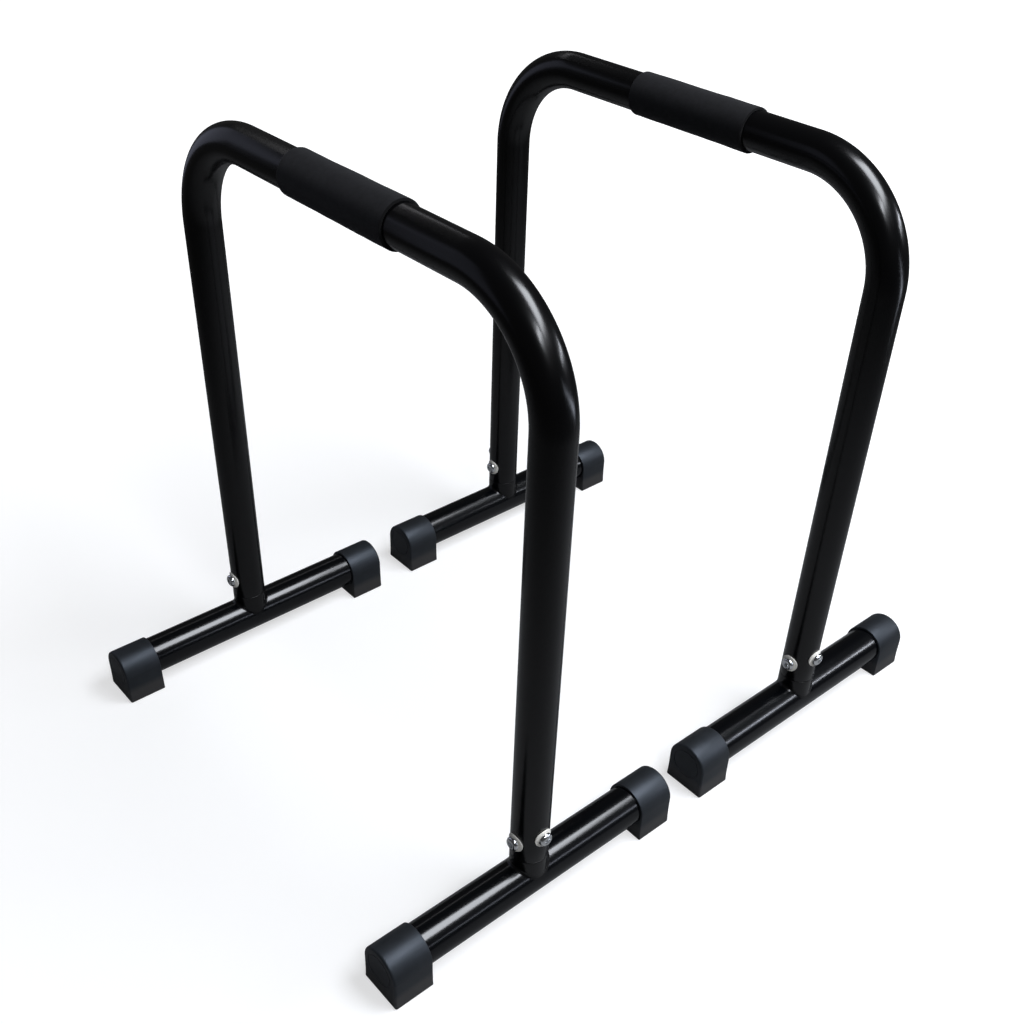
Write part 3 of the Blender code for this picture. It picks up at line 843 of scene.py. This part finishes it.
def add_lamp(name, place, aim, size, roll, radiance, colour):
    """A soft rectangular lamp that faces a point, turned about that line by degrees."""
    bpy.ops.object.light_add(type="AREA", location=place)
    lamp = bpy.context.object
    lamp.name = lamp.data.name = name
    lamp.data.shape = "RECTANGLE"
    lamp.data.size, lamp.data.size_y = size
    # Watts that make a one-sided lamp of this size look that bright
    lamp.data.energy = radiance * math.pi * size[0] * size[1]
    lamp.data.color = linear(colour)[:3]
    lamp.visible_camera = False
    facing = (Vector(aim) - Vector(place)).to_track_quat("-Z", "Y")
    lamp.rotation_euler = (facing.to_matrix() @ Matrix.Rotation(math.radians(roll), 3, "Z")).to_euler()


# Lamps and boards, worked out from the streaks on the tubes: place, point faced, width and height,
# turn, brightness where 1 is white, and colour. The boards and the high strip are what the bars mirror.
LAMPS = (
    ("overhead_softbox", (1.45, -1.64, 3.80), (2.55, -1.81, 2.14), (3.14, 2.26), 90.5, 15.5, "#f4f8ff"),
    ("front_softbox", (-1.04, -3.13, 3.80), (-1.39, -1.22, 3.31), (1.49, 0.53), 12.5, 30.0, "#f4f8ff"),
    ("side_strip", (3.50, -2.97, 2.05), (2.32, -3.92, 0.75), (3.91, 0.21), -24.9, 29.6, "#f0f5ff"),
    ("low_strip", (0.73, -2.10, 0.75), (-1.25, -2.29, 0.58), (2.80, 0.12), 163.5, 5.7, "#e6eeff"),
    ("rear_board", (-1.02, 2.41, 0.88), (-1.92, 1.01, -0.22), (1.93, 2.10), -167.5, 0.38, "#dce2ff"),
    ("high_strip", (0.50, 3.75, 3.40), (-0.72, 2.23, 3.83), (0.20, 4.00), -58.5, 1.95, "#fafaff"),
    ("side_board", (-0.79, 0.29, 0.95), (0.67, -0.92, 1.59), (0.41, 0.76), 11.4, 0.22, "#dce2ff"),
)
for lamp in LAMPS:
    add_lamp(*lamp)

forward = Vector((math.sin(YAW) * math.cos(PITCH), math.cos(YAW) * math.cos(PITCH), math.sin(PITCH)))
level = Vector((math.cos(YAW), -math.sin(YAW), 0))
upward = level.cross(forward)
right = level * math.cos(ROLL) + upward * math.sin(ROLL)
up = upward * math.cos(ROLL) - level * math.sin(ROLL)
bpy.ops.object.camera_add(location=CAMERA_PLACE)
camera = bpy.context.object
camera.rotation_euler = Matrix((right, up, -forward)).transposed().to_euler()
camera.data.sensor_width = SENSOR_WIDTH
camera.data.lens = LENS
camera.data.shift_x = SHIFT_X
camera.data.shift_y = SHIFT_Y
camera.data.clip_end = CAMERA_SEES
bpy.context.scene.camera = camera

bpy.context.scene.view_settings.view_transform = "Standard"
